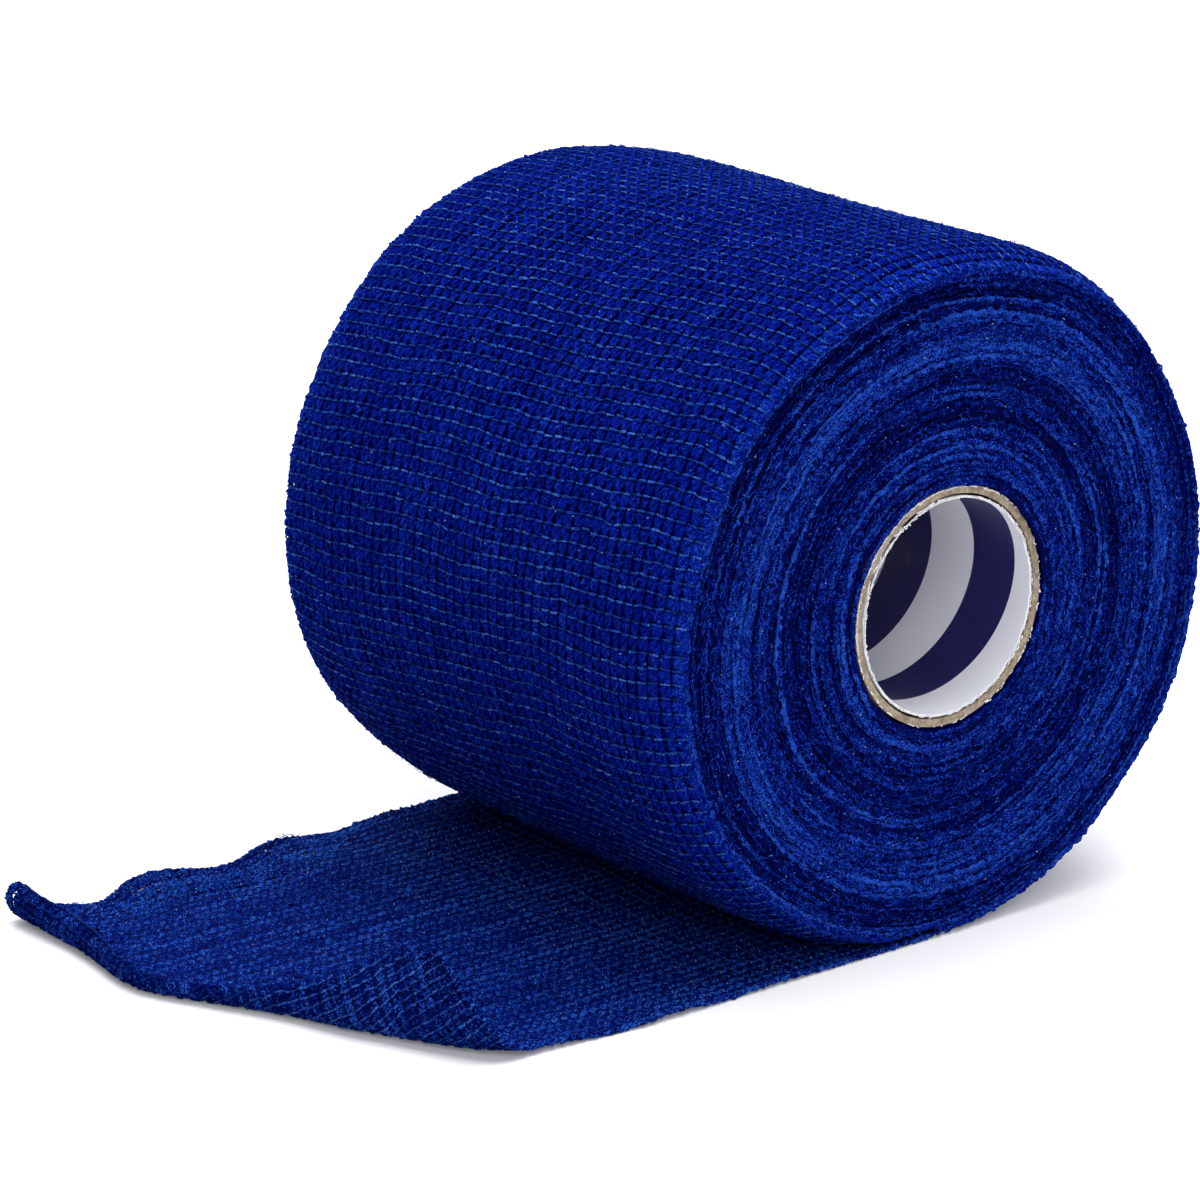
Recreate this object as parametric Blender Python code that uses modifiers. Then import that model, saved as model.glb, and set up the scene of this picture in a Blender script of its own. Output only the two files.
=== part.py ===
"""A cohesive gauze bandage: a wound roll on a card core, its loose end laid out on the table.

Metres, +Z up. The roll's axis runs along Y. The end face that is seen first looks along -Y,
and the loose end leaves the bottom of the roll towards -X. The part stands on Z = 0.
"""

import math
from collections import namedtuple

import bmesh
import bpy

# Driving dimensions ---------------------------------------------------------------------
BANDAGE_WIDTH = 0.080        # the cloth's cut width, selvedge to selvedge
ROLL_RADIUS = 0.0454         # the outermost turn, half-way along the roll
ROLL_TAPER = 0.0006          # the near half is wound this much larger than the far half
AXIS_HEIGHT = 0.0439         # less than the radius: the roll is flat where it lies
CORE_OUTER_RADIUS = 0.01556
CORE_WALL = 0.0010           # spiral-wound kraft card
LINER_WALL = 0.0004          # the white paper ply inside the card
CORE_LENGTH = 0.0794         # the card ends just inside the cloth's two end faces
SHEET_THICKNESS = 0.0010     # one layer of the crinkled gauze
CLEARANCE = 0.0003           # between neighbouring pieces

# Fineness -------------------------------------------------------------------------------
ROLL_STEPS = 76              # facets round the wound cloth
CORE_STEPS = 48              # facets round the core
SHEET_COLUMNS = 46           # cells along the loose end
SHEET_ROWS = 30              # cells across the loose end

# The wound roll -------------------------------------------------------------------------
TURN_STEP_X = -0.0012        # where the outermost turn leaves the roll for the table
NEAR_SHOULDER = (0.0081, 0.0025)   # length along the axis, and the drop at the end face
FAR_SHOULDER = (0.0126, 0.0013)
FACE_WANDER = 0.00025        # the turns' edges stray this far in and out of the end faces

Swell = namedtuple("Swell", "height lobes per_metre phase")   # slack places in the winding
SWELLS = (
    Swell(0.00022, 2, 0.0, 0.7), Swell(0.00014, 5, 90.0, 0.0), Swell(0.00010, 9, -140.0, 0.0),
)

FaceRing = namedtuple("FaceRing", "share proud")   # share of the way from core to rim
NEAR_FACE_RINGS = (
    FaceRing(0.00, -0.0006), FaceRing(0.07, 0.0000), FaceRing(0.20, -0.0003),
    FaceRing(0.36, -0.0009), FaceRing(0.50, -0.0007), FaceRing(0.60, -0.0001),
    FaceRing(0.72, 0.0003), FaceRing(0.84, 0.0001), FaceRing(0.93, -0.0008),
    FaceRing(1.00, 0.0000),
)
FAR_FACE_RINGS = (
    FaceRing(0.00, -0.0005), FaceRing(0.12, 0.0001), FaceRing(0.30, -0.0004),
    FaceRing(0.52, -0.0006), FaceRing(0.74, 0.0002), FaceRing(0.90, -0.0005),
    FaceRing(1.00, 0.0000),
)

# The loose end --------------------------------------------------------------------------
# One row for each place across the cloth: how far from the roll's axis the cloth turns up
# off the table, how tightly and how far it curls there, and the length left past the bend.
EndRow = namedtuple("EndRow", "across fold_reach bend_radius turn_deg flap")
END_ROWS = (
    EndRow(-0.0460, 0.0595, 0.0042, 124.0, 0.0225),
    EndRow(-0.0400, 0.0652, 0.0040, 123.0, 0.0205),
    EndRow(-0.0360, 0.0682, 0.0038, 121.0, 0.0188),
    EndRow(-0.0300, 0.0715, 0.0034, 118.0, 0.0163),
    EndRow(-0.0240, 0.0742, 0.0030, 115.0, 0.0130),
    EndRow(-0.0180, 0.0774, 0.0025, 112.0, 0.0092),
    EndRow(-0.0106, 0.0799, 0.0020, 110.0, 0.0064),
    EndRow(-0.0045, 0.0829, 0.0018, 112.0, 0.0052),
    EndRow(0.0014, 0.0861, 0.0015, 122.0, 0.0046),
    EndRow(0.0076, 0.0895, 0.0014, 140.0, 0.0044),
    EndRow(0.0120, 0.0898, 0.0014, 160.0, 0.0048),
    EndRow(0.0182, 0.0883, 0.0014, 190.0, 0.0058),
    EndRow(0.0262, 0.0873, 0.0014, 230.0, 0.0070),
    EndRow(0.0460, 0.0876, 0.0014, 290.0, 0.0080),
)
TIP_LIFT = 0.0010            # the far corner's little roll stands off the table by this
TIP_LIFT_WIDTH = 0.016       # and comes down to it over this stretch of the cut end
FLAT_SHARE = 0.66            # of the grid's columns, those that lie on the table
LEAVES_ROLL = (0.016, 0.036)        # the sheet comes out from under the roll over this stretch
CORNER_DRAW = (0.048, 0.066)        # the near selvedge draws in over this stretch
CORNER_INSET = 0.0016               # by this much, towards the turned-up corner
FAR_INSET = 0.0011                  # the far selvedge has shrunk back by this
FAR_WAVE = 0.0014                   # and swings in and out by this
FAR_WAVE_LENGTH = 0.0215
FAR_WAVE_CREST = 0.0664             # one of its outward swings
WaveGrowth = namedtuple("WaveGrowth", "gain start stop")
FAR_WAVE_GROWTH = (
    WaveGrowth(1.0, 0.020, 0.060), WaveGrowth(0.5, 0.064, 0.078), WaveGrowth(-1.0, 0.080, 0.086),
)
EDGE_RIPPLE = 0.0006                # the selvedges rise off the table by this, here and there
EDGE_RIPPLE_PER_METRE = 330.0

COLOURS = {
    "wound_roll": (0.006, 0.024, 0.30),
    "loose_end": (0.006, 0.024, 0.30),
    "core_tube": (0.50, 0.38, 0.25),
    "core_liner": (0.78, 0.79, 0.82),
}


def new_collection(name):
    collection = bpy.data.collections.new(name)
    bpy.context.scene.collection.children.link(collection)
    return collection


def plain_material(name):
    material = bpy.data.materials.new(name)
    material.use_nodes = True
    shader = material.node_tree.nodes["Principled BSDF"]
    shader.inputs["Base Color"].default_value = (*COLOURS[name], 1.0)
    shader.inputs["Roughness"].default_value = 0.9
    shader.inputs["Metallic"].default_value = 0.0
    return material


def new_object(name, mesh, collection):
    thing = bpy.data.objects.new(name, mesh)
    collection.objects.link(thing)
    return thing


def ring_profile(name, points, collection):
    """A closed outline in the plane of the roll's axis: x is the radius, y runs along it."""
    mesh = bpy.data.meshes.new(name)
    bm = bmesh.new()
    corners = [bm.verts.new((radius, along, 0.0)) for radius, along in points]
    for here, there in zip(corners, corners[1:] + corners[:1]):
        bm.edges.new((here, there))
    bm.to_mesh(mesh)
    bm.free()
    return new_object(name, mesh, collection)


def turn_round_axis(thing, steps):
    """Spin an outline round Y, and keep the result as a closed mesh with faces outwards."""
    screw = thing.modifiers.new("turned", "SCREW")
    screw.axis = "Y"
    screw.angle = math.tau
    screw.steps = steps
    screw.render_steps = steps
    screw.use_merge_vertices = True
    screw.merge_threshold = 0.00001
    bpy.context.view_layer.update()
    turned = bpy.data.meshes.new_from_object(thing.evaluated_get(bpy.context.evaluated_depsgraph_get()))
    thing.modifiers.clear()
    bm = bmesh.new()
    bm.from_mesh(turned)
    bmesh.ops.remove_doubles(bm, verts=bm.verts, dist=0.00001)
    bmesh.ops.recalc_face_normals(bm, faces=bm.faces)
    bm.to_mesh(turned)
    bm.free()
    turned.name = thing.name
    thing.data = turned
    turned.shade_smooth()
    turned.set_sharp_from_angle(angle=math.radians(40))
    return thing


def tube(name, outer, wall, length, collection):
    half = length / 2
    outline = [(outer, half), (outer, -half), (outer - wall, -half), (outer - wall, half)]
    thing = turn_round_axis(ring_profile(name, outline, collection), CORE_STEPS)
    thing.location.z = AXIS_HEIGHT
    thing.data.materials.append(plain_material(name))
    return thing


def outer_radius(along):
    """The wound cloth's radius at a place along the axis, with its taper and shoulders."""
    half = BANDAGE_WIDTH / 2
    radius = ROLL_RADIUS - ROLL_TAPER * along / half
    near_length, near_drop = NEAR_SHOULDER
    far_length, far_drop = FAR_SHOULDER
    near_share = max(0.0, (near_length - half - along) / near_length)
    far_share = max(0.0, (along - half + far_length) / far_length)
    return radius - near_drop * near_share ** 2 - far_drop * far_share ** 2


def face_outline(rings, end):
    """The rings of one end face from the core out to the rim; end is -1 near, +1 far."""
    half = BANDAGE_WIDTH / 2
    bore = CORE_OUTER_RADIUS + CLEARANCE
    rim = outer_radius(end * half)
    return [(bore + ring.share * (rim - bore), end * (half + ring.proud)) for ring in rings]


def settle_roll(mesh):
    """Press the wound cloth flat where it lies, and wind it as unevenly as real cloth."""
    for vertex in mesh.vertices:
        x, y, z = vertex.co
        radius = math.hypot(x, z)
        if radius < CORE_OUTER_RADIUS * 1.1:
            continue
        angle = math.atan2(z, x)
        depth = (radius - CORE_OUTER_RADIUS) / (ROLL_RADIUS - CORE_OUTER_RADIUS)
        uneven = sum(swell.height * math.sin(swell.lobes * angle + swell.per_metre * y + swell.phase)
                     for swell in SWELLS)
        grown = radius + uneven * depth
        wander = FACE_WANDER * depth * (1 - depth) * math.sin(3 * angle + 1.1)
        x, z = grown * math.cos(angle), grown * math.sin(angle)
        vertex.co = (x, y + wander, max(z, -AXIS_HEIGHT))


def build_wound_roll(collection, cutters):
    half = BANDAGE_WIDTH / 2
    near_length = NEAR_SHOULDER[0]
    far_length = FAR_SHOULDER[0]
    stations = [-half + near_length * share for share in (0.08, 0.25, 0.5, 1.0)]
    stations += [-half + near_length + (BANDAGE_WIDTH - near_length - far_length) * share
                 for share in (0.2, 0.4, 0.6, 0.8, 1.0)]
    stations += [half - far_length * share for share in (0.6, 0.3, 0.1)]
    outline = face_outline(NEAR_FACE_RINGS, -1)
    outline += [(outer_radius(along), along) for along in stations]
    outline += reversed(face_outline(FAR_FACE_RINGS, 1))
    roll = ring_profile("wound_roll", outline, collection)
    turn_round_axis(roll, ROLL_STEPS)
    settle_roll(roll.data)
    roll.location.z = AXIS_HEIGHT
    roll.data.materials.append(plain_material("wound_roll"))

    # The outermost turn is missing under the left of the roll, where it has come away.
    layer = SHEET_THICKNESS + CLEARANCE
    reach = 2 * ROLL_RADIUS
    bpy.ops.mesh.primitive_cube_add(
        size=1.0, location=(TURN_STEP_X - reach / 2, 0.0, layer - reach / 2))
    cutter = bpy.context.active_object
    cutter.name = "cut_missing_turn"
    cutter.dimensions = (reach, 2 * BANDAGE_WIDTH, reach)
    bpy.ops.object.transform_apply(location=False, rotation=False, scale=True)
    cutter.hide_render = True
    cutter.display_type = "WIRE"
    bpy.context.collection.objects.unlink(cutter)
    cutters.objects.link(cutter)
    cut = roll.modifiers.new("missing turn", "BOOLEAN")
    cut.operation = "DIFFERENCE"
    cut.solver = "EXACT"
    cut.object = cutter
    return roll


def blend_rows(across):
    """The row of END_ROWS at any place across the cloth, eased between its neighbours."""
    low = END_ROWS[0]
    for high in END_ROWS[1:]:
        if across <= high.across:
            break
        low = high
    share = min(1.0, max(0.0, (across - low.across) / max(1e-9, high.across - low.across)))
    return EndRow(*(a + (b - a) * share for a, b in zip(low, high)))


def smooth_row(across):
    """blend_rows averaged over a few millimetres, so that the bend has no corners."""
    window = 0.004
    samples = [blend_rows(across + window * step) for step in (-1.0, -0.5, 0.0, 0.5, 1.0)]
    weights = (1, 2, 3, 2, 1)
    total = sum(weights)
    return EndRow(*(sum(w * value for w, value in zip(weights, column)) / total
                    for column in zip(*samples)))


def ease(value, low, high):
    """0 up to low, 1 from high, and smooth in between."""
    share = min(1.0, max(0.0, (value - low) / (high - low)))
    return share * share * (3 - 2 * share)


def flat_place(along, across):
    """A point of the cloth's middle surface where it lies on the table."""
    edge = (abs(across) / (BANDAGE_WIDTH / 2)) ** 3
    out_of_roll = ease(along, *LEAVES_ROLL)
    if across < 0:
        stray = CORNER_INSET * ease(along, *CORNER_DRAW)
    else:
        swing = sum(growth.gain * ease(along, growth.start, growth.stop) for growth in FAR_WAVE_GROWTH)
        phase = math.tau * (along - FAR_WAVE_CREST) / FAR_WAVE_LENGTH
        stray = -FAR_INSET * out_of_roll + FAR_WAVE * swing * math.cos(phase)
    side_phase = 1.0 if across < 0 else 0.0
    ripple = 0.5 - 0.5 * math.cos(EDGE_RIPPLE_PER_METRE * along + side_phase)
    rise = EDGE_RIPPLE * edge * out_of_roll * ripple
    return (-along, across + stray * edge, SHEET_THICKNESS / 2 + rise)


def curl(distance, radius, turn):
    """Where a strip is after it bends up round a radius: back over itself, and up."""
    bent = min(distance, radius * turn)
    straight = distance - bent
    angle = bent / radius
    out = radius * math.sin(angle) + straight * math.cos(angle)
    up = radius * (1 - math.cos(angle)) + straight * math.sin(angle)
    return out, up


def sheet_place(share_along, share_across):
    """A point of the loose end's middle surface, from its shares of length and width."""
    across = (share_across - 0.5) * BANDAGE_WIDTH
    row = smooth_row(across)
    start = -TURN_STEP_X + CLEARANCE
    if share_along <= FLAT_SHARE:
        return flat_place(start + (row.fold_reach - start) * share_along / FLAT_SHARE, across)
    past = row.flap * (share_along - FLAT_SHARE) / (1 - FLAT_SHARE)
    step = 0.001
    slope = (smooth_row(across + step).fold_reach - smooth_row(across - step).fold_reach) / (2 * step)
    norm = math.hypot(slope, 1.0)
    fold = (-slope / norm, 1.0 / norm)          # along the bend, in the table's plane
    outwards = (-fold[1], fold[0])              # square to it, away from the roll
    slide = -fold[0] * past
    out, up = curl(-outwards[0] * past, row.bend_radius, math.radians(row.turn_deg))
    x, y, z = flat_place(row.fold_reach, across)
    tip = max(0.0, 1.0 - (BANDAGE_WIDTH / 2 - across) / TIP_LIFT_WIDTH)
    lift = TIP_LIFT * tip ** 2 * min(1.0, past / row.flap * 4)
    return (x + fold[0] * slide + outwards[0] * out,
            y + fold[1] * slide + outwards[1] * out,
            z + up + lift)


def build_loose_end(collection):
    """A grid laid and curled into place, then given the cloth's thickness."""
    mesh = bpy.data.meshes.new("loose_end")
    bm = bmesh.new()
    bmesh.ops.create_grid(bm, x_segments=SHEET_COLUMNS, y_segments=SHEET_ROWS, size=0.5)
    for vertex in bm.verts:
        vertex.co = sheet_place(vertex.co.x + 0.5, vertex.co.y + 0.5)
    bmesh.ops.recalc_face_normals(bm, faces=bm.faces)
    bm.to_mesh(mesh)
    bm.free()
    mesh.shade_smooth()
    sheet = new_object("loose_end", mesh, collection)
    sheet.data.materials.append(plain_material("loose_end"))
    thickness = sheet.modifiers.new("cloth thickness", "SOLIDIFY")
    thickness.thickness = SHEET_THICKNESS
    thickness.offset = 0.0
    return sheet


def stand_over_origin(things):
    """Move the part so that the origin is at the middle of its box, on the table."""
    bpy.context.view_layer.update()
    graph = bpy.context.evaluated_depsgraph_get()
    corners = []
    for thing in things:
        seen = thing.evaluated_get(graph)
        mesh = seen.to_mesh()
        corners += [seen.matrix_world @ vertex.co for vertex in mesh.vertices]
        seen.to_mesh_clear()
    shift = [-(min(c[i] for c in corners) + max(c[i] for c in corners)) / 2 for i in (0, 1)]
    base = -min(c[2] for c in corners)
    stand = bpy.data.objects.new("stand", None)
    things[0].users_collection[0].objects.link(stand)
    for thing in list(things) + list(bpy.data.collections["cutters"].objects):
        thing.parent = stand
    stand.location = (shift[0], shift[1], base)


def main():
    for thing in list(bpy.data.objects):
        bpy.data.objects.remove(thing)
    parts = new_collection("cohesive_bandage_roll")
    cutters = new_collection("cutters")
    liner_outer = CORE_OUTER_RADIUS - CORE_WALL - CLEARANCE
    things = [
        build_wound_roll(parts, cutters),
        build_loose_end(parts),
        tube("core_tube", CORE_OUTER_RADIUS, CORE_WALL, CORE_LENGTH, parts),
        tube("core_liner", liner_outer, LINER_WALL, CORE_LENGTH, parts),
    ]
    stand_over_origin(things)


main()
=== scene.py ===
import math
from collections import namedtuple

import bmesh
import bpy
import numpy as np
from mathutils import Matrix, Vector


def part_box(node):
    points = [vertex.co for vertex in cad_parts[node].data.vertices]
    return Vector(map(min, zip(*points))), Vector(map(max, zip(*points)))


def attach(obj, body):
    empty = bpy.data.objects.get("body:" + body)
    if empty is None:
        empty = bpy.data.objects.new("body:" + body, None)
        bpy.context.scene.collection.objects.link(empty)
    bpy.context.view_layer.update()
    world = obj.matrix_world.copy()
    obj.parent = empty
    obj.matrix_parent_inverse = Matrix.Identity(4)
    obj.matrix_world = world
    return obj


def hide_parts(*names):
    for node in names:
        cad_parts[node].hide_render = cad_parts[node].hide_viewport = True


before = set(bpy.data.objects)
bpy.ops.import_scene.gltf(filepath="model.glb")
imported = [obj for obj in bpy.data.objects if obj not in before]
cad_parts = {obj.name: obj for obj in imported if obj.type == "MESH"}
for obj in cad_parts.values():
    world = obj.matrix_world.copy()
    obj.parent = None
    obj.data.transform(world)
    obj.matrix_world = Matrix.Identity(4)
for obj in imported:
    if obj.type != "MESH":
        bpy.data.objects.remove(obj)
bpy.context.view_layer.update()        # the bandage: a wound roll, its loose end, the core and its liner


# --- The card core ----------------------------------------------------------------------
# A tube wound from spiral plies of brown kraft card and sawn off as long as the bandage is
# wide, which leaves its ends fibrous. The cloth is wound straight onto it.

CORE_PLIES = 4
CORE_WALL = 0.00096             # to the white ply, with the glue
CORE_FACETS = 192
AT_THE_END = 0.0001             # a tube's points this near its end are on its cut edge
SHARP_ANGLE = math.radians(50)  # where a tube's surface turns by more, it looks sharp
SAWN_ROUGHNESS = 0.00010        # how far the sawn card's fibres stray
KRAFT_DARK = (0.170, 0.125, 0.082)
KRAFT = (0.300, 0.232, 0.165)
KRAFT_PALE = (0.46, 0.395, 0.31)
KRAFT_RELIEF = 0.00012

core_low, core_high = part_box("core_tube")
axis_x = (core_low.x + core_high.x) / 2
axis_y = (core_low.y + core_high.y) / 2
axis_z = (core_low.z + core_high.z) / 2
core_radius = (core_high.z - core_low.z) / 2
core_length = core_high.y - core_low.y


def start_tube(name, radius, length, facets):
    """Add a cylinder along the roll's axis, with its place in its mesh, and edit it."""
    bpy.ops.object.select_all(action="DESELECT")
    bpy.ops.mesh.primitive_cylinder_add(
        vertices=facets, radius=radius, depth=length, end_fill_type="NGON",
        location=(axis_x, axis_y, axis_z), rotation=(math.pi / 2, 0, 0))
    bpy.context.object.name = name
    bpy.context.object.data.name = name
    bpy.ops.object.transform_apply(location=True, rotation=True, scale=True)
    bpy.ops.object.mode_set(mode="EDIT")
    bpy.ops.mesh.select_mode(type="FACE")
    return bpy.context.object


def select_where(thing, kind, test):
    """Select only the verts, edges or faces of the mesh in edit mode that pass a test."""
    bpy.ops.mesh.select_all(action="DESELECT")
    bm = bmesh.from_edit_mesh(thing.data)
    for element in getattr(bm, kind):
        element.select_set(bool(test(element)))
    bm.select_flush_mode()
    bmesh.update_edit_mesh(thing.data)


def bore_through(thing, wall, plies):
    """Inset both ends ply by ply, and open the bore between them."""
    select_where(thing, "faces", lambda face: abs(face.normal.y) > 0.9)
    for _ in range(plies):
        bpy.ops.mesh.inset(thickness=wall / plies)
    bpy.ops.mesh.bridge_edge_loops()


def new_material(name, roughness, specular, more=()):
    """A node material, a way to add nodes to it, and one to link them to its shader."""
    material = bpy.data.materials.new(name)
    material.use_nodes = True
    tree = material.node_tree
    inputs = tree.nodes["Principled BSDF"].inputs
    for place, value in (("Roughness", roughness), ("Specular IOR Level", specular), *more):
        inputs[place].default_value = value

    def add(kind, links=(), **settings):
        """Add a node; links are (input, socket or value), settings its properties."""
        node = tree.nodes.new(kind)
        for key, value in settings.items():
            setattr(node, key, value)
        for place, value in links:
            if isinstance(value, bpy.types.NodeSocket):
                tree.links.new(value, node.inputs[place])
            else:
                node.inputs[place].default_value = value
        return node

    def link(source, place):
        tree.links.new(source, inputs[place])

    return material, add, link


def colour_ramp(add, factor, stops):
    """Blend a list of (place, colour) by a factor."""
    node = add("ShaderNodeValToRGB", [("Fac", factor)])
    ramp = node.color_ramp
    while len(ramp.elements) < len(stops):
        ramp.elements.new(0.5)
    for element, (place, colour) in zip(ramp.elements, stops):
        element.position = place
        element.color = (*colour, 1.0)
    return node.outputs["Color"]

def noise(add, scale, detail, roughness=0.5, place=None):
    """Noise with about so many lumps a metre, on the object's own coordinates or at a place."""
    place = place or add("ShaderNodeTexCoord").outputs["Object"]
    return add("ShaderNodeTexNoise", [("Vector", place), ("Scale", scale), ("Detail", detail),
                                      ("Roughness", roughness)]).outputs["Fac"]


def maths(add, operation, *values):
    """One sum with sockets or numbers."""
    return add("ShaderNodeMath", list(enumerate(values)), operation=operation).outputs[0]


def roughen(add, link, height, distance, strength=1.0):
    """Let the surface stand out where a value is high."""
    bump = add("ShaderNodeBump", [("Strength", strength), ("Distance", distance),
                                  ("Height", height)])
    link(bump.outputs["Normal"], "Normal")


card_core = start_tube("card_core", core_radius, core_length, CORE_FACETS)
bore_through(card_core, CORE_WALL, CORE_PLIES)
half_core = core_length / 2
select_where(card_core, "verts", lambda vert: abs(vert.co.y - axis_y) > half_core - AT_THE_END)
bpy.ops.transform.vertex_random(offset=SAWN_ROUGHNESS, seed=3)
bpy.ops.mesh.select_all(action="DESELECT")
bpy.ops.object.mode_set(mode="OBJECT")
bpy.ops.object.shade_smooth_by_angle(angle=SHARP_ANGLE)

kraft, add, link = new_material("kraft_card", roughness=0.85, specular=0.25)
fibres = noise(add, 3200.0, 4.0, 0.75)
mottled = maths(add, "ADD", fibres, noise(add, 1400.0, 2.0))
link(colour_ramp(add, maths(add, "MULTIPLY", mottled, 0.5), [
    (0.34, KRAFT_DARK), (0.48, KRAFT), (0.64, KRAFT_PALE)]), "Base Color")
roughen(add, link, fibres, KRAFT_RELIEF)
card_core.data.materials.append(kraft)
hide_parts("core_tube")
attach(card_core, "root")


# --- The paper liner --------------------------------------------------------------------
# A ply of smooth white paper, printed with plain navy bands and glued inside the card. The
# saw has torn its near edge, and where it is torn away the brown card shows.

LINER_WALL = 0.0003
LINER_RECESS = 0.00005          # the saw pushed its near edge in a little
LINER_FACETS = 224
PAPER = (0.80, 0.81, 0.87)
PRINT_NAVY = (0.010, 0.009, 0.090)
BAND_PITCH = 0.0155             # from one turn of the printed band to the next
BAND_WIDTH_SHARE = 0.49         # of the pitch, that which is printed
BAND_START = 0.0366             # how far from the middle a band starts, on the +X side
PLAIN_EDGE = 0.0005             # the torn edge shows only white fibres
STAIN = (0.36, 0.22, 0.11)
FRAY_DEPTH = 0.00016            # how ragged its near edge is all round
TEAR_DEPTH = 0.00150            # and where the saw tore it most
TEAR_MIDDLE = math.radians(128)

liner_low, liner_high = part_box("core_liner")
liner_radius = (liner_high.z - liner_low.z) / 2
near_edge = liner_low.y
paper_liner = start_tube("paper_liner", liner_radius, liner_high.y - liner_low.y, LINER_FACETS)
bore_through(paper_liner, LINER_WALL, 1)
bpy.ops.object.mode_set(mode="OBJECT")
for vertex in paper_liner.data.vertices:
    if vertex.co.y < near_edge + AT_THE_END:
        turn = math.atan2(vertex.co.z - axis_z, vertex.co.x - axis_x)
        ragged = (0.5 + 0.5 * math.sin(23 * turn)) * (0.5 + 0.5 * math.sin(41 * turn + 1.0))
        ragged += 0.3 * math.sin(97 * turn) * math.sin(5 * turn)
        torn = max(0.0, math.cos(turn - TEAR_MIDDLE)) ** 10
        torn *= 0.5 + 0.5 * math.sin(19 * turn + 0.5)
        vertex.co.y += LINER_RECESS + FRAY_DEPTH * ragged + TEAR_DEPTH * torn
bpy.ops.object.shade_smooth_by_angle(angle=SHARP_ANGLE)

paper, add, link = new_material("printed_paper", roughness=0.42, specular=0.45)
place = add("ShaderNodeTexCoord").outputs["Object"]
centred = add("ShaderNodeMapping", [("Vector", place), ("Location", (-axis_x, 0.0, -axis_z))])
split = add("ShaderNodeSeparateXYZ", [("Vector", centred.outputs[0])]).outputs
turn = maths(add, "ARCTAN2", split["Z"], split["X"])
# A band starts again each time that the place along the axis and the turn add up to one more.
twist = maths(add, "MULTIPLY_ADD", split["Y"], math.tau / BAND_PITCH, turn)
repeat = maths(add, "MULTIPLY_ADD", twist, 1.0 / math.tau, BAND_START / BAND_PITCH)
printed = maths(add, "LESS_THAN", maths(add, "FRACT", repeat), BAND_WIDTH_SHARE)
inside = maths(add, "GREATER_THAN", split["Y"], near_edge + PLAIN_EDGE)
ink = colour_ramp(add, maths(add, "MULTIPLY", printed, inside), [(0.3, PAPER), (0.7, PRINT_NAVY)])
dirt = maths(add, "MULTIPLY_ADD", noise(add, 90.0, 1.0), 0.9, noise(add, 420.0, 5.0, 0.8))
stained = add("ShaderNodeMapRange", [("Value", dirt), ("From Min", 1.26), ("From Max", 1.36),
                                     ("To Min", 0.0), ("To Max", 0.5)])
marked = add("ShaderNodeMix", [("Factor", stained.outputs[0]), ("A", ink), ("B", (*STAIN, 1.0))],
             data_type="RGBA")
link(marked.outputs["Result"], "Base Color")
paper_liner.data.materials.append(paper)
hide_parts("core_liner")
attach(paper_liner, "root")


# --- The turns inside the roll ----------------------------------------------------------
# Some fifty turns of crinkled gauze under the outermost one. Only a mass of them shows, through
# the gaps in the outermost turn and between the turns' edges, painted dark blue as the shade there.

BANDAGE_WIDTH = 0.080
HALF_WIDTH = BANDAGE_WIDTH / 2
ROLL_RADIUS = 0.0454
ROLL_TAPER = 0.0006
LAYER = 0.0010                  # one layer of the gauze
CLEARANCE = 0.0003
NEAR_SHOULDER = (0.0081, 0.0025)            # how wide and how deep the cloth rounds off
FAR_SHOULDER = (0.0126, 0.0013)
TURN_STEP_X = -0.0012           # where the outermost turn leaves the roll for the table
# How slack or tight the winding is: height, waves round the roll, turn a metre and phase.
SWELLS = ((0.00022, 2, 0.0, 0.7), (0.00014, 5, 90.0, 0.0), (0.00010, 9, -140.0, 0.0))
# The end faces, from the core (0) to the rim (1): how far the turns' edges stand out.
NEAR_FACE = ((0.00, -0.0006), (0.07, 0.0000), (0.20, -0.0003), (0.36, -0.0009), (0.50, -0.0007),
             (0.60, -0.0001), (0.72, 0.0003), (0.84, 0.0001), (0.93, -0.0008), (1.00, 0.0000))
FAR_FACE = ((0.00, -0.0005), (0.12, 0.0001), (0.30, -0.0004), (0.52, -0.0006), (0.74, 0.0002),
            (0.90, -0.0005), (1.00, 0.0000))
FACE_WANDER = 0.00025
BORE_RADIUS = core_radius + CLEARANCE
# Painted shade: the inner turns are darker than the outer cloth, for the shade in the gaps.
INNER_SHADE_BLUE = (0.0003, 0.0014, 0.120)
INNER_SHADE_BLUE_LIGHT = (0.0006, 0.006, 0.26)
DEEP_RELIEF = 0.0003
INNER_DEPTH = 0.00095           # the mass of inner turns starts this far under the surface
FACE_DEPTH = 0.0008             # and this far inside the end faces
INNER_LIFT = 0.0006             # and this far over what the roll lies on
INNER_STEPS = 146
FACE_ROWS = 18
WALL_ROWS = 28
WALL_INSET = 0.0012             # the wall's first row, from the roll's edge


def roll_radius(along):
    """The wound cloth's radius at places along the axis, with its taper and shoulders."""
    near = np.clip((NEAR_SHOULDER[0] - HALF_WIDTH - along) / NEAR_SHOULDER[0], 0.0, None)
    far = np.clip((along - HALF_WIDTH + FAR_SHOULDER[0]) / FAR_SHOULDER[0], 0.0, None)
    tapered = ROLL_RADIUS - ROLL_TAPER * along / HALF_WIDTH
    return tapered - NEAR_SHOULDER[1] * near ** 2 - FAR_SHOULDER[1] * far ** 2


def swell(angle, along):
    """How far the winding is slack or tight at places on its surface."""
    return sum(height * np.sin(lobes * angle + per_metre * along + phase)
               for height, lobes, per_metre, phase in SWELLS)


def face_proud(face, share):
    """How far the turns' edges stand out of an end face at shares of the way to the rim."""
    return np.interp(share, *zip(*face))


def round_axis(radius, along, angle):
    """Points at a radius, at a place along the roll's axis and at an angle round it."""
    return np.stack(np.broadcast_arrays(axis_x + radius * np.cos(angle), axis_y + along,
                                        axis_z + radius * np.sin(angle)), axis=-1)


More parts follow.
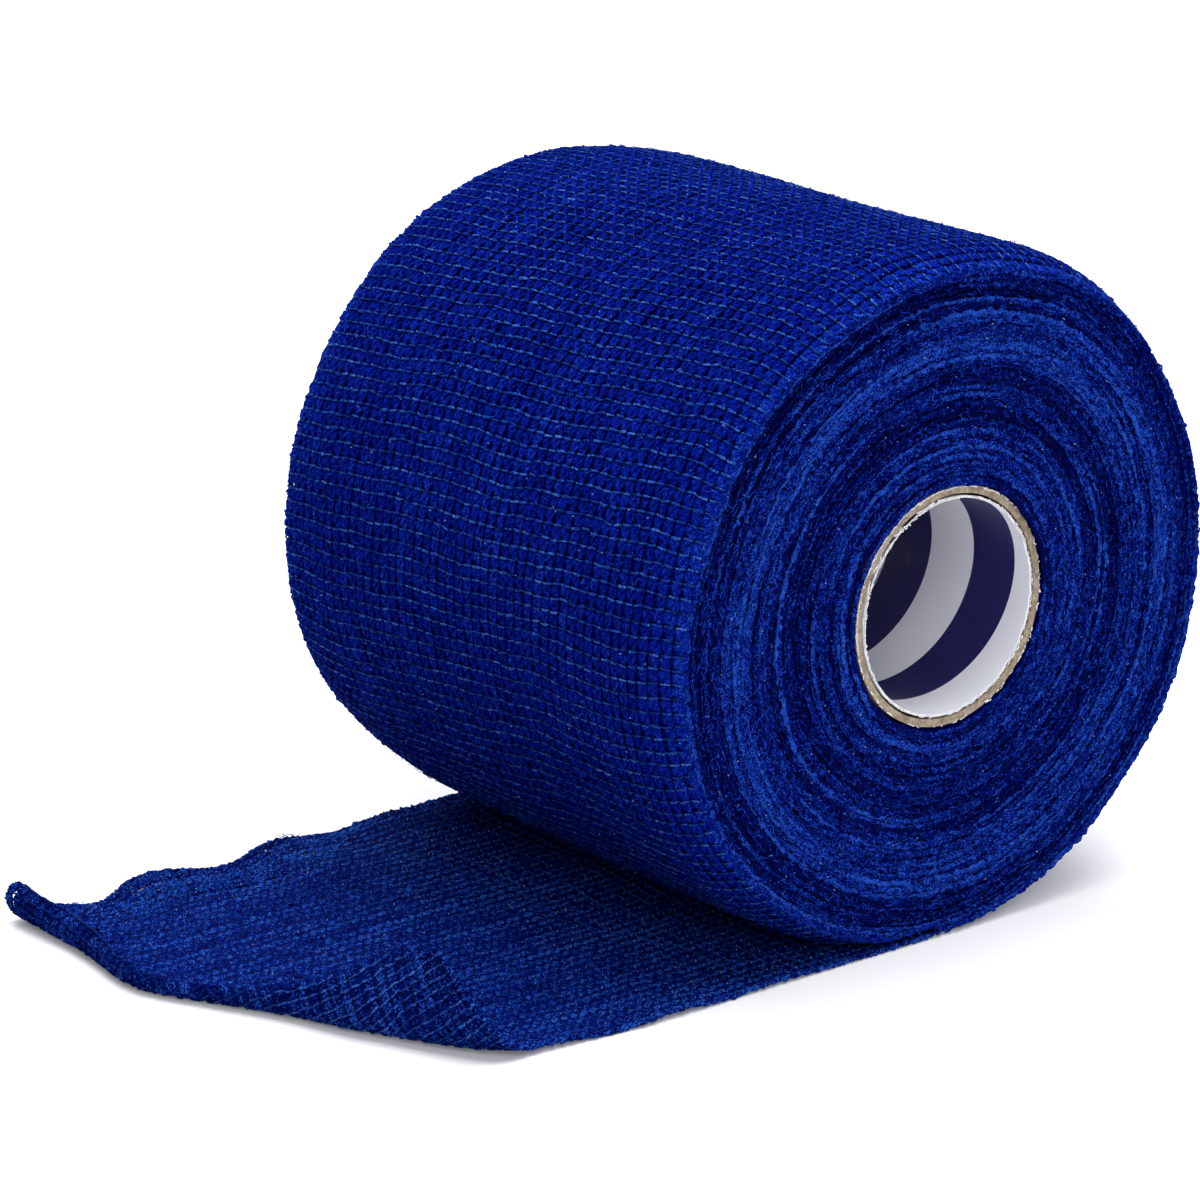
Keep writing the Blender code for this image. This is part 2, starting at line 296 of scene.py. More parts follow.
def mesh_from(name, points, faces, uvs=None, shade=None):
    """A smooth mesh from arrays of points and of faces, which all have as many corners."""
    corners = faces.shape[1]
    mesh = bpy.data.meshes.new(name)
    mesh.vertices.add(len(points))
    mesh.vertices.foreach_set("co", np.ascontiguousarray(points, np.float32).ravel())
    mesh.loops.add(faces.size)
    mesh.loops.foreach_set("vertex_index", np.ascontiguousarray(faces, np.int32).ravel())
    mesh.polygons.add(len(faces))
    mesh.polygons.foreach_set("loop_start", np.arange(0, faces.size, corners, dtype=np.int32))
    mesh.update(calc_edges=True)
    if uvs is not None:
        layer = mesh.uv_layers.new(name="yarn")
        layer.uv.foreach_set("vector", np.ascontiguousarray(uvs, np.float32).ravel())
    if shade is not None:
        values = mesh.attributes.new("shade", "FLOAT", "POINT")
        values.data.foreach_set("value", np.ascontiguousarray(shade, np.float32))
    mesh.shade_smooth()
    thing = bpy.data.objects.new(name, mesh)
    bpy.context.scene.collection.objects.link(thing)
    return thing


def closed_grid(name, points, ring=False):
    """A closed mesh from a grid of points that goes round in its second direction.

    It goes round in its first direction too if it is a ring, and is capped otherwise.
    """
    rows, columns = points.shape[:2]
    row = np.arange(rows if ring else rows - 1)[:, None]
    column = np.arange(columns)
    above = (row + 1) % rows
    ahead = (column + 1) % columns
    quads = np.stack([row * columns + column, row * columns + ahead,
                      above * columns + ahead, above * columns + column], axis=-1)
    thing = mesh_from(name, points.reshape(-1, 3), quads.reshape(-1, 4))
    bm = bmesh.new()
    bm.from_mesh(thing.data)
    bmesh.ops.holes_fill(bm, edges=[edge for edge in bm.edges if edge.is_boundary], sides=0)
    bmesh.ops.recalc_face_normals(bm, faces=bm.faces)
    bm.to_mesh(thing.data)
    bm.free()
    thing.data.shade_smooth()
    return thing


def inner_face(side, face):
    """An end face of the inner turns: radius and place along the axis, from the bore out."""
    rim = float(roll_radius(side * HALF_WIDTH)) - INNER_DEPTH
    return [(BORE_RADIUS + share * (rim - BORE_RADIUS),
             side * (HALF_WIDTH + float(face_proud(face, share)) - FACE_DEPTH))
            for share in np.linspace(0.0, 1.0, FACE_ROWS)]


def painted_shade_gauze(name, dark, light):
    """Matt crinkled gauze in two dark tones, painted shade for what shows only between the yarns."""
    material, add, link = new_material(name, roughness=0.95, specular=0.02)
    fuzz = noise(add, 1500.0, 3.0)
    link(colour_ramp(add, fuzz, [(0.40, dark), (0.75, light)]), "Base Color")
    roughen(add, link, fuzz, DEEP_RELIEF, strength=0.8)
    return material


wall_end = HALF_WIDTH - WALL_INSET
wall = [(float(roll_radius(along)) - INNER_DEPTH, along)
        for along in np.linspace(-wall_end, wall_end, WALL_ROWS)]
profile = np.array(inner_face(-1, NEAR_FACE) + wall + inner_face(1, FAR_FACE)[::-1])
radius, along = profile[:, :1], profile[:, 1:]
angles = np.linspace(0.0, math.tau, INNER_STEPS, endpoint=False)
slack = swell(angles, along) * ((radius - BORE_RADIUS) / (ROLL_RADIUS - BORE_RADIUS))
points = round_axis(radius + slack, along, angles)
lowest = np.where(points[..., 0] < axis_x + TURN_STEP_X, LAYER + CLEARANCE, 0.0) + INNER_LIFT
points[..., 2] = np.maximum(points[..., 2], lowest)
inner_turns = closed_grid("inner_turns", points, ring=True)
inner_turns.data.materials.append(painted_shade_gauze("inner_turns_shade", INNER_SHADE_BLUE, INNER_SHADE_BLUE_LIGHT))
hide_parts("wound_roll")
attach(inner_turns, "root")


# --- The warp of the outermost turn -----------------------------------------------------
# Crinkled yarns that run round the roll, each of two cotton plies twisted together. Every
# weft pinches them where the plies cross, and between two wefts the plies swell and part.

WARPS = 47
EDGE_CROWDING = 0.02            # the warps lie closer together towards the selvedges
WARP_PITCH = BANDAGE_WIDTH / WARPS
WEFTS_ROUND = 156
TURN_LENGTH = math.tau * ROLL_RADIUS
WEFT_PITCH = TURN_LENGTH / WEFTS_ROUND
WEFT_SKEW = 0.0064              # the wefts' far ends lag this far behind their near ends
SKEW_STARTS = 0.006             # from the near selvedge
# Waves that neighbouring wefts share: their height, and their lengths round and along the roll.
WEFT_WAVES = ((0.00050, 0.060, 0.030), (0.00016, 0.014, 0.009))
PLY_DRIFT = 0.00010             # how far a warp strays sideways, and over what length
PLY_DRIFT_LENGTH = 0.012
PINCHES_FROM_STEP = (0.0004, 0.0009)    # no pinch lies nearer to the outermost turn's two ends
WARP_FROM_STEP = 0.0002
PINCH = {"apart": 0.00010, "stacked": 0.00010, "half_width": 0.00042, "half_depth": 0.00018,
         "height": -0.00046}
SWELLING = {"apart": 0.00040, "stacked": 0.00014, "half_width": 0.00056, "half_depth": 0.00026,
            "height": -0.00030}
CELL_STEPS = np.array([0.0, 0.33, 0.67])    # shares of the way from one weft to the next
CROSSING_STRAY = 0.00008        # how far each pinch strays from its weft's line
# A yarn's blues, from darkest to palest as its tone rises; the palest is a painted glint.
WARP_BLUES = ((0.0003, 0.0010, 0.135), (0.0008, 0.0072, 0.305), (0.0036, 0.030, 0.54),
              (0.0260, 0.105, 0.74))
BRIGHT_EDGE = 0.0030            # the warps are lighter this near their selvedges: tighter cloth, and partly painted light where the roll rounds off
EDGE_BRIGHTER = 0.17
TABLE_GAP = 0.00002             # nothing lies nearer to the table
NOISE_WAVES = 24


def slow_noise(seed, first, first_length, second=0.0, second_length=1.0):
    """Smooth random values round 0, most within 1, that change over the two lengths."""
    dice = np.random.default_rng(seed)
    total = np.zeros(np.broadcast(first, second).shape)
    for _ in range(NOISE_WAVES):
        heading, phase = dice.uniform(0.0, math.tau, 2)
        reach = dice.uniform(0.3, 1.3)
        total += np.sin(math.tau * reach * (math.cos(heading) * first / first_length
                                            + math.sin(heading) * second / second_length) + phase)
    return total / math.sqrt(NOISE_WAVES)


def scatter(dice, amount, places):
    """Random values round 0, one for each place, most of them within the amount."""
    return amount * dice.standard_normal(len(places))


def weft_stray(arc, along):
    """How far the wefts stray round the roll: their skew and slow waves that neighbours share."""
    from_near = np.clip(along + HALF_WIDTH - SKEW_STARTS, 0.0, None)
    skew = WEFT_SKEW * from_near / (BANDAGE_WIDTH - SKEW_STARTS)
    for seed, (height, round_length, along_length) in enumerate(WEFT_WAVES, 21):
        skew = skew + height * slow_noise(seed, arc, round_length, along, along_length)
    return skew


def rest_height(x):
    """What the roll lies on: the table, or on the left its own loose end."""
    return np.where(x < axis_x + TURN_STEP_X, LAYER + CLEARANCE, TABLE_GAP)


def unit(vectors):
    """The same directions, each one long."""
    return vectors / np.linalg.norm(vectors, axis=-1, keepdims=True)


def roll_place(arc, along, height):
    """Points at a height over the roll's surface, and its outward direction there.

    arc runs round the roll from the step at its bottom, towards +X, up and over.
    """
    angle = arc / ROLL_RADIUS - math.pi / 2
    angle, along, height = np.broadcast_arrays(angle, along, height)
    step = 0.0002
    slope = (roll_radius(along + step) - roll_radius(along - step)) / (2 * step)
    outward = unit(np.stack([np.cos(angle), -slope, np.sin(angle)], axis=-1))
    surface = round_axis(roll_radius(along) + swell(angle, along), along, angle)
    surface[..., 2] = np.maximum(surface[..., 2], rest_height(surface[..., 0]))
    return surface + outward * height[..., None], outward


Yarn = namedtuple("Yarn", "centres outwards half_widths half_depths shade")


def triangles(grid):
    """The corners of two triangles for each cell of a grid."""
    near, far, far_next, near_next = grid[:-1, :-1], grid[1:, :-1], grid[1:, 1:], grid[:-1, 1:]
    return np.stack([near, far, far_next, near, far_next, near_next], axis=2)


def yarn_piece(name, yarns, material, fuzz=0.0, seed=0, rest=None, sides=3):
    """One mesh of closed yarns with flat sides, one of them outwards.

    The UV map gives metres along the yarn and metres round it.
    """
    dice = np.random.default_rng(seed)
    step = np.arange(sides + 1)
    around = math.pi / 2 + math.tau * (step[:-1] + 0.5) / sides
    fan = np.array([(0, k, k + 1) for k in range(1, sides - 1)])
    points, faces, uvs, shades, base = [], [], [], [], 0
    for yarn in yarns:
        count = len(yarn.centres)
        ahead = np.gradient(yarn.centres, axis=0)
        beside = unit(np.cross(ahead, yarn.outwards))
        lift = unit(np.cross(beside, ahead))
        half_widths, half_depths, shade = (np.broadcast_to(value, (count,)) for value in yarn[2:])
        grow = 1.0 + fuzz * dice.standard_normal((count, sides))
        wide = np.cos(around) * half_widths[:, None] * grow
        deep = np.sin(around) * half_depths[:, None] * grow
        ring = (yarn.centres[:, None] + beside[:, None] * wide[..., None]
                + lift[:, None] * deep[..., None])
        points.append(ring.reshape(-1, 3))
        strips = triangles(np.arange(count)[:, None] * sides + step % sides)
        # Each yarn starts at another place in the pattern.
        length = np.concatenate([[0.0], np.cumsum(np.linalg.norm(
            np.diff(yarn.centres, axis=0), axis=-1))]) + base * 0.0001
        girth = 2.0 * (half_widths + half_depths)
        maps = triangles(np.stack(np.broadcast_arrays(
            length[:, None], girth[:, None] * (step / sides)), axis=-1))
        faces.append(np.concatenate([strips.reshape(-1, 3), fan,
                                     fan[:, ::-1] + (count - 1) * sides]) + base)
        uvs.append(np.concatenate([maps.reshape(-1, 2), np.zeros((6 * len(fan), 2))]))
        shades.append(np.repeat(shade, sides))
        base += count * sides
    points = np.concatenate(points)
    if rest is not None:
        points[:, 2] = np.maximum(points[:, 2], rest(points[:, 0]))
    piece = mesh_from(name, points, np.concatenate(faces), np.concatenate(uvs),
                      np.concatenate(shades))
    piece.data.materials.append(material)
    return piece


TWIST_SLANT = 0.3               # in radians, of the fibres against the yarn
FIBRES_ROUND = 6000.0           # a metre, round the yarn
TONE_STEPS = (0.08, 0.46, 0.84, 1.00)       # where each of the four blues is on the ramp
TUFTS_SHARE = 1.25              # of the tone, next to the streaks
CLUMPS_SHARE = 0.20


def yarn_material(name, blues, relief=0.0005, contrast=0.88, grain=4200.0, streaks=0.45,
                  streak_length=0.0010):
    """Cotton yarn: fibres that slant with the twist, uneven dye, and painted glints where the tone is
    palest.
    """
    material, add, link = new_material(name, roughness=1.0, specular=0.020, more=(
        ("Specular Tint", (0.45, 0.80, 1.0, 1.0)), ("Sheen Weight", 0.011),
        ("Sheen Roughness", 0.6), ("Sheen Tint", (0.16, 0.46, 1.0, 1.0))))
    yarn = add("ShaderNodeUVMap", uv_map="yarn").outputs["UV"]
    turned = add("ShaderNodeMapping", [("Vector", yarn), ("Rotation", (0.0, 0.0, TWIST_SLANT))])
    drawn = add("ShaderNodeMapping", [("Vector", turned.outputs[0]),
                                      ("Scale", (1.0 / streak_length, FIBRES_ROUND, 1.0))])
    fibres = noise(add, 1.0, 2.0, 0.6, drawn.outputs[0])
    tufts = noise(add, grain, 1.0, 0.7)
    tone = maths(add, "MULTIPLY_ADD", fibres, streaks,
                 add("ShaderNodeAttribute", attribute_name="shade").outputs["Fac"])
    tone = maths(add, "MULTIPLY_ADD", tufts, TUFTS_SHARE, tone)
    tone = maths(add, "MULTIPLY_ADD", noise(add, 420.0, 1.0), CLUMPS_SHARE, tone)
    middle = 0.5 * (streaks + TUFTS_SHARE + CLUMPS_SHARE)
    spread = add("ShaderNodeMapRange", [("Value", tone), ("From Min", middle - 0.25 / contrast),
                                        ("From Max", middle + 0.25 / contrast)])
    # The palest blue on the ramp is a painted glint.
    link(colour_ramp(add, spread.outputs[0], list(zip(TONE_STEPS, blues))), "Base Color")
    roughen(add, link, maths(add, "MULTIPLY_ADD", tufts, 1.5, fibres), relief)
    return material


def twisted_plies(pinches, last, dice, seed, lighter=0.0, fullness=None):
    """The two plies of one warp, from its first pinch to its last place along the cloth.

    Where fullness() is under 1 the warp is stretched and the plies swell less. Gives for each
    ply: places along, sideways, heights, half widths, half depths and shades.
    """
    ends = np.append(pinches[1:], last)
    along = np.append((pinches[:, None] + (ends - pinches)[:, None] * CELL_STEPS).ravel(), last)
    cells = len(pinches)
    swollen = np.append((np.array([0.0, 1.0, 1.0]) * (
        1.0 + 0.14 * dice.standard_normal((cells, 3)))).ravel(), 0.3)
    cell = np.append((np.arange(cells)[:, None] + CELL_STEPS).ravel(), cells)
    phase = math.pi * cell + scatter(dice, 0.35, cell)
    drift = PLY_DRIFT * slow_noise(seed + 1, along, PLY_DRIFT_LENGTH)
    slack = np.append(np.repeat(dice.standard_normal(cells), 3), 0.0)
    tint = lighter + 0.05 * slow_noise(seed, along, 0.030) + 0.02 * slack
    full = 1.0 if fullness is None else fullness(along)

    def between(key):
        return PINCH[key] + (SWELLING[key] - PINCH[key]) * swollen

    for turn in (0.0, math.pi):
        sideways = drift + full * between("apart") * np.sin(phase + turn)
        height = between("height") + between("stacked") * np.cos(phase + turn)
        height += 0.00004 * slack * swollen
        jitter = 1.0 + 0.10 * dice.standard_normal((2, len(along)))
        shade = tint + scatter(dice, 0.03, along)
        yield (along, sideways, height, full * between("half_width") * jitter[0],
               between("half_depth") * jitter[1], shade)


warp_cotton = yarn_material("warp_cotton", WARP_BLUES, contrast=0.66)
even = (np.arange(WARPS) + 0.5) / WARPS * 2 - 1
warp_places = HALF_WIDTH * ((1 + EDGE_CROWDING) * even - EDGE_CROWDING * even ** 9)
dice = np.random.default_rng(5)
# Some rows start before the turn does, because their far ends lag behind.
weft_arcs = (np.arange(-4, WEFTS_ROUND) + 0.5) * WEFT_PITCH
crossings = (weft_arcs[:, None] + weft_stray(weft_arcs[:, None], warp_places)
             + CROSSING_STRAY * dice.standard_normal((len(weft_arcs), WARPS)))
roll_warps = []
for column, side in enumerate(warp_places):
    pinches = np.sort(crossings[:, column])
    pinches = pinches[(pinches > PINCHES_FROM_STEP[0])
                      & (pinches < TURN_LENGTH - PINCHES_FROM_STEP[1])]
    # Partly painted light: the warps near the selvedges are lighter.
    brighter = EDGE_BRIGHTER * max(0.0, 1.0 - (HALF_WIDTH - abs(side)) / BRIGHT_EDGE)
    for along, sideways, height, wide, deep, shade in twisted_plies(
            pinches, TURN_LENGTH - WARP_FROM_STEP, dice, 1000 + 2 * column, lighter=brighter):
        across = np.clip(side + sideways, -HALF_WIDTH, HALF_WIDTH)
        roll_warps.append(Yarn(*roll_place(along, across, height), wide, deep, shade))
for name, part in (("near_warps", roll_warps[:WARPS]), ("far_warps", roll_warps[WARPS:])):
    warps = yarn_piece(name, part, warp_cotton, fuzz=0.10, seed=6, rest=rest_height)
    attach(warps, "root")


# --- The weft of the outermost turn -----------------------------------------------------
# Thin paler threads across the cloth, one for each pinch of the warps. Each shows as a dash
# over every warp, and dips between them.

WEFT_HALF = 0.00016
WEFT_OVER = -0.00016            # the thread's middle over a warp, from the surface
WEFT_UNDER = -0.00042           # and between two warps
WEFT_BLUES = ((0.0016, 0.010, 0.120), (0.0062, 0.031, 0.222), (0.016, 0.064, 0.33),
              (0.050, 0.150, 0.52))
WEFT_RELIEF = 0.00012
WEFT_DASH = np.array([-0.30, 0.30, 0.50]) * WARP_PITCH    # two points over, one down
WEFT_SIT = np.array([1.0, 1.0, 0.0])
SHORTEST_WEFT = 6               # in points
WEFT_END_INSET = 0.0001         # from the selvedges
WEFT_FROM_STEP = 0.0003         # from the outermost turn's two ends
WEFT_STRAY = 0.00006
WEFT_DIP_PAINTED_SHADE = 0.34

weft_cotton = yarn_material("weft_cotton", WEFT_BLUES, relief=WEFT_RELIEF, contrast=0.80)


def weft_points():
    """Places across the cloth for one weft, how far it lies over (1) or under (0), and its half."""
    across = (warp_places[:, None] + WEFT_DASH).ravel()[:-1]
    end = HALF_WIDTH - WEFT_END_INSET
    across = np.concatenate([[-end], across, [end]])
    over = np.concatenate([[0.3], np.tile(WEFT_SIT, WARPS)[:-1], [0.3]])
    over = over * (1.0 + scatter(dice, 0.10, over))
    thick = WEFT_HALF * (0.75 + 0.30 * over + scatter(dice, 0.20, over))
    return across, over, np.clip(thick, 0.5 * WEFT_HALF, 1.6 * WEFT_HALF)


def longest_run(there):
    """The places in the longest stretch that is there."""
    runs = np.split(np.arange(len(there)), np.flatnonzero(np.diff(there.astype(int))) + 1)
    return max((run for run in runs if there[run[0]]), key=len, default=np.array([], int))


def weft_rows(crossings, stray, start, stop):
    """Each weft that shows between two places: its row, along, across, over, half and height."""
    for row, line in enumerate(crossings):
        across, over, thick = weft_points()
        along = np.interp(across, warp_places, line) + scatter(dice, stray, across)
        kept = longest_run((along > start) & (along < stop(across)))
        if len(kept) >= SHORTEST_WEFT:
            height = WEFT_UNDER + (WEFT_OVER - WEFT_UNDER) * over
            yield row, *(values[kept] for values in (along, across, over, thick, height))


roll_wefts = []
for row, along, across, over, thick, height in weft_rows(
        crossings, WEFT_STRAY, WEFT_FROM_STEP, lambda across: TURN_LENGTH - WEFT_FROM_STEP):
    # Painted shade where the weft dips between the warps.
    shade = 0.09 * slow_noise(300 + row, across, 0.007) - WEFT_DIP_PAINTED_SHADE * (over < 0.4)
    shade = 0.03 + shade + scatter(dice, 0.11, across)
    roll_wefts.append(Yarn(*roll_place(along, across, height), thick, thick, shade))
wefts = yarn_piece("roll_wefts", roll_wefts, weft_cotton, seed=7, rest=rest_height)
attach(wefts, "root")


# --- The end faces ----------------------------------------------------------------------
# The selvedges of all the inner turns, seen edge on: one crinkled yarn that goes round and
# round from the core to the rim, with some turns standing out and others sunk.

TURNS = 49
EDGE_HALF = (0.00040, 0.00036)  # half its width and half its depth
NEAR_EDGE_STEP = 0.00058        # between two points of the near face's yarn
FAR_EDGE_STEP = 0.00095
BY_THE_CARD = 0.0009            # the first turns stand this much higher, level with the card
BY_THE_CARD_SHARE = 0.05        # of the way from the core to the rim
FACE_RIM_INSET = 0.0002
PROUD_PAINTED_LIGHT = 300.0             # painted light: how much lighter a yarn is for each metre that it stands out
FACE_BLUES = ((0.0003, 0.0008, 0.070), (0.0006, 0.0040, 0.185), (0.0030, 0.025, 0.42),
              (0.0240, 0.110, 0.70))
# Brighter where turns stand proud and catch the light: from the core (0) to the rim (1).
FACE_SHADES = (
    (0.000, -0.05), (0.040, -0.07), (0.070, 0.13), (0.120, -0.04), (0.168, 0.06), (0.200, -0.03),
    (0.240, 0.02), (0.310, -0.12), (0.370, -0.08), (0.425, -0.03), (0.438, 0.08), (0.455, -0.09),
    (0.510, -0.11), (0.555, 0.04), (0.600, 0.00), (0.660, 0.11), (0.700, 0.04), (0.750, 0.10),
    (0.800, 0.06), (0.840, -0.10), (0.880, -0.05), (0.935, -0.10), (0.965, 0.02), (1.000, 0.12))


def face_yarn(side, face, spacing, seed):
    """The spiral of selvedges on the near (-1) or far (1) end face."""
    dice = np.random.default_rng(seed)
    rim = float(roll_radius(side * HALF_WIDTH)) - FACE_RIM_INSET
    inner = BORE_RADIUS + 0.1 * EDGE_HALF[0]
    length = math.pi * TURNS * (inner + rim)
    pace = np.linspace(0.0, 1.0, int(length / spacing))
    # Equal lengths of yarn: the area inside the spiral grows evenly.
    radius = np.sqrt(inner ** 2 + pace * (rim ** 2 - inner ** 2))
    angle = math.tau * TURNS * (radius - inner) / (rim - inner)
    along_yarn = pace * length
    share = (radius - inner) / (rim - inner)
    turn_number = angle / math.tau
    heave = 0.00008 * slow_noise(seed + 1, along_yarn, 0.012, turn_number, 1.5)
    heave += 0.00013 * slow_noise(seed + 4, angle, 1.6, turn_number, 0.5)
    heave += scatter(dice, 0.00006, pace)
    swung = radius + 0.00010 * slow_noise(seed + 2, angle, 0.35, turn_number, 1.2)
    swung += scatter(dice, 0.00011, pace) * np.minimum(1.0, 30 * share)
    swung += swell(angle, side * HALF_WIDTH) * share
    proud = face_proud(face, share) + FACE_WANDER * share * (1 - share) * np.sin(3 * angle + 1.1)
    proud += BY_THE_CARD * np.clip(1.0 - share / BY_THE_CARD_SHARE, 0.0, 1.0)
    out = HALF_WIDTH + proud + heave - EDGE_HALF[1]
    outwards = np.tile([0.0, float(side), 0.0], (len(pace), 1))
    crinkle = 1.0 + 0.12 * np.sin(math.tau * along_yarn / WEFT_PITCH) + scatter(dice, 0.10, pace)
    shade = np.interp(share, *zip(*FACE_SHADES))
    # Painted light: the turns that stand out are painted lighter.
    shade += PROUD_PAINTED_LIGHT * heave + scatter(dice, 0.05, pace)
    shade += 0.04 * slow_noise(seed + 3, angle, 1.5, turn_number, 4.0)
    shade += 0.11 * slow_noise(seed + 5, angle, 2.5, turn_number, 0.5)
    return Yarn(round_axis(swung, side * out, angle), outwards, EDGE_HALF[0] * crinkle,
                EDGE_HALF[1] * crinkle, shade)


face_cotton = yarn_material("selvedge_cotton", FACE_BLUES, contrast=1.20, grain=4400.0,
                            streaks=0.75, streak_length=0.0005)
for name, side, face, spacing in (("near_face_turns", -1, NEAR_FACE, NEAR_EDGE_STEP),
                                  ("far_face_turns", 1, FAR_FACE, FAR_EDGE_STEP)):
    turns = yarn_piece(name, [face_yarn(side, face, spacing, 60 + side)], face_cotton,
                       fuzz=0.10, seed=8, rest=lambda x: rest_height(x) + 0.0001)
    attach(turns, "root")


# --- The selvedges of the outermost turn ------------------------------------------------
# Where the wefts turn back at each edge of the cloth, their loops and the last warp make a
# brighter, fuzzy cord along the rim of each end face.

SELVEDGE_STRANDS = 3
SELVEDGE_HALF = 0.00021
SELVEDGE_LOOP = 0.00022         # how far a strand swings as it goes round the others
SELVEDGE_SHADE = 0.17
rim_yarns = []
for side in (-1, 1):
    for strand in range(SELVEDGE_STRANDS):
        arc = np.linspace(0.0004, TURN_LENGTH - 0.0004, WEFTS_ROUND * 4)
        phase = math.tau * (arc / WEFT_PITCH + strand / SELVEDGE_STRANDS)
        wander = 0.00025 * slow_noise(90 + strand + side, arc, 0.006)
        wander += scatter(dice, 0.00010, arc)
        along = side * (HALF_WIDTH - 0.00020 + SELVEDGE_LOOP * np.cos(phase)) + wander
        height = -0.00040 + SELVEDGE_LOOP * np.sin(phase) + scatter(dice, 0.00010, arc)
        thick = SELVEDGE_HALF * (1.0 + scatter(dice, 0.2, arc))
        shade = SELVEDGE_SHADE + scatter(dice, 0.13, arc)
        rim_yarns.append(Yarn(*roll_place(arc, along, height), thick, thick, shade))
rims = yarn_piece("roll_selvedges", rim_yarns, warp_cotton, seed=9, rest=rest_height)
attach(rims, "root")


# --- The loose end: its ground ----------------------------------------------------------
# The part of the outermost turn that is rolled out on the table, inner side up. Its near
# corner is turned up and back, and the rest of its cut end has curled into a low lip.

# Across the cloth: where it folds, the bend's radius and turn in degrees, and the flap past it.
END_ROWS = (
    (-0.0460, 0.0595, 0.0042, 124.0, 0.0225), (-0.0400, 0.0652, 0.0040, 123.0, 0.0205),
    (-0.0360, 0.0682, 0.0038, 121.0, 0.0188), (-0.0300, 0.0715, 0.0034, 118.0, 0.0163),
    (-0.0240, 0.0742, 0.0030, 115.0, 0.0130), (-0.0180, 0.0774, 0.0025, 112.0, 0.0092),
    (-0.0106, 0.0799, 0.0020, 110.0, 0.0064), (-0.0045, 0.0829, 0.0018, 112.0, 0.0052),
    (0.0014, 0.0861, 0.0015, 122.0, 0.0046), (0.0076, 0.0895, 0.0014, 140.0, 0.0044),
    (0.0120, 0.0898, 0.0014, 160.0, 0.0048), (0.0182, 0.0883, 0.0014, 190.0, 0.0058),
    (0.0262, 0.0873, 0.0014, 230.0, 0.0070), (0.0460, 0.0876, 0.0014, 290.0, 0.0080))
TIP_LIFT = 0.0010               # the curled far corner stands off the table
TIP_LIFT_WIDTH = 0.016
LEAVES_ROLL = (0.016, 0.036)    # where the selvedges start to stray
CORNER_DRAW = (0.048, 0.066)    # where the turned-up corner draws the near selvedge in
CORNER_INSET = 0.0016
FAR_INSET = 0.0011
FAR_WAVE = 0.0014               # how far the far selvedge waves in and out
FAR_WAVE_LENGTH = 0.0215
FAR_WAVE_CREST = 0.0664
# How much the wave gains or loses, and from where to where along the cloth.
FAR_WAVE_GROWTH = ((1.0, 0.020, 0.060), (0.5, 0.064, 0.078), (-1.0, 0.080, 0.086))
EDGE_RIPPLE = 0.0006
EDGE_RIPPLE_PER_METRE = 330.0
ROW_WINDOW = 0.004              # the bend's measures are averaged over this width
CUT_BACK = 0.0010               # the yarns and the ground end this far short of the cut
GROUND_THICKNESS = 0.00016
GROUND_INSET = 0.0010           # the ground's near edge, inside the selvedge
GROUND_FAR_INSET = 0.0014       # and its far edge
GROUND_FAR_GAP = 0.0110         # the table shows through the cloth along its far selvedge
GROUND_FAR_GAP_ALONG = (0.34, 0.50, 0.80, 0.88)     # opens and closes, as shares of the length
GROUND_LOWEST = 0.0002
# Painted shade: the ground is dark, for the shade in the holes between the loose end's yarns.
GROUND_SHADE_BLUE = (0.0004, 0.0030, 0.062)
GROUND_SHADE_BLUE_LIGHT = (0.0008, 0.009, 0.150)
GROUND_ROWS = 60
GROUND_COLUMNS = 70


def end_row(across):
    """The bend's measures at places across the cloth, averaged so that it has no corners."""
    table = np.array(END_ROWS)
    total = np.zeros((*np.shape(across), 4))
    for step, weight in zip((-1.0, -0.5, 0.0, 0.5, 1.0), (1, 2, 3, 2, 1)):
        at = np.asarray(across) + ROW_WINDOW * step
        total += weight / 9 * np.stack(
            [np.interp(at, table[:, 0], table[:, k]) for k in range(1, 5)], axis=-1)
    return np.moveaxis(total, -1, 0)


def ease(value, low, high):
    """0 up to low, 1 from high, and smooth in between."""
    share = np.clip((value - low) / (high - low), 0.0, 1.0)
    return share * share * (3 - 2 * share)


def flat_place(along, across):
    """Points of the cloth's middle surface where it lies on the table."""
    edge = (np.abs(across) / HALF_WIDTH) ** 3
    out_of_roll = ease(along, *LEAVES_ROLL)
    swing = sum(gain * ease(along, start, stop) for gain, start, stop in FAR_WAVE_GROWTH)
    crest = np.cos(math.tau * (along - FAR_WAVE_CREST) / FAR_WAVE_LENGTH)
    near = CORNER_INSET * ease(along, *CORNER_DRAW)
    far = -FAR_INSET * out_of_roll + FAR_WAVE * swing * crest
    stray = np.where(across < 0, near, far)
    side_phase = np.where(across < 0, 1.0, 0.0)
    ripple = 0.5 - 0.5 * np.cos(EDGE_RIPPLE_PER_METRE * along + side_phase)
    rise = EDGE_RIPPLE * edge * out_of_roll * ripple
    return np.stack([-along, across + stray * edge, LAYER / 2 + rise], axis=-1)


def cloth_length(across):
    """How much cloth there is from under the roll's axis to the cut end."""
    fold_reach, _, _, flap = end_row(across)
    return fold_reach + flap


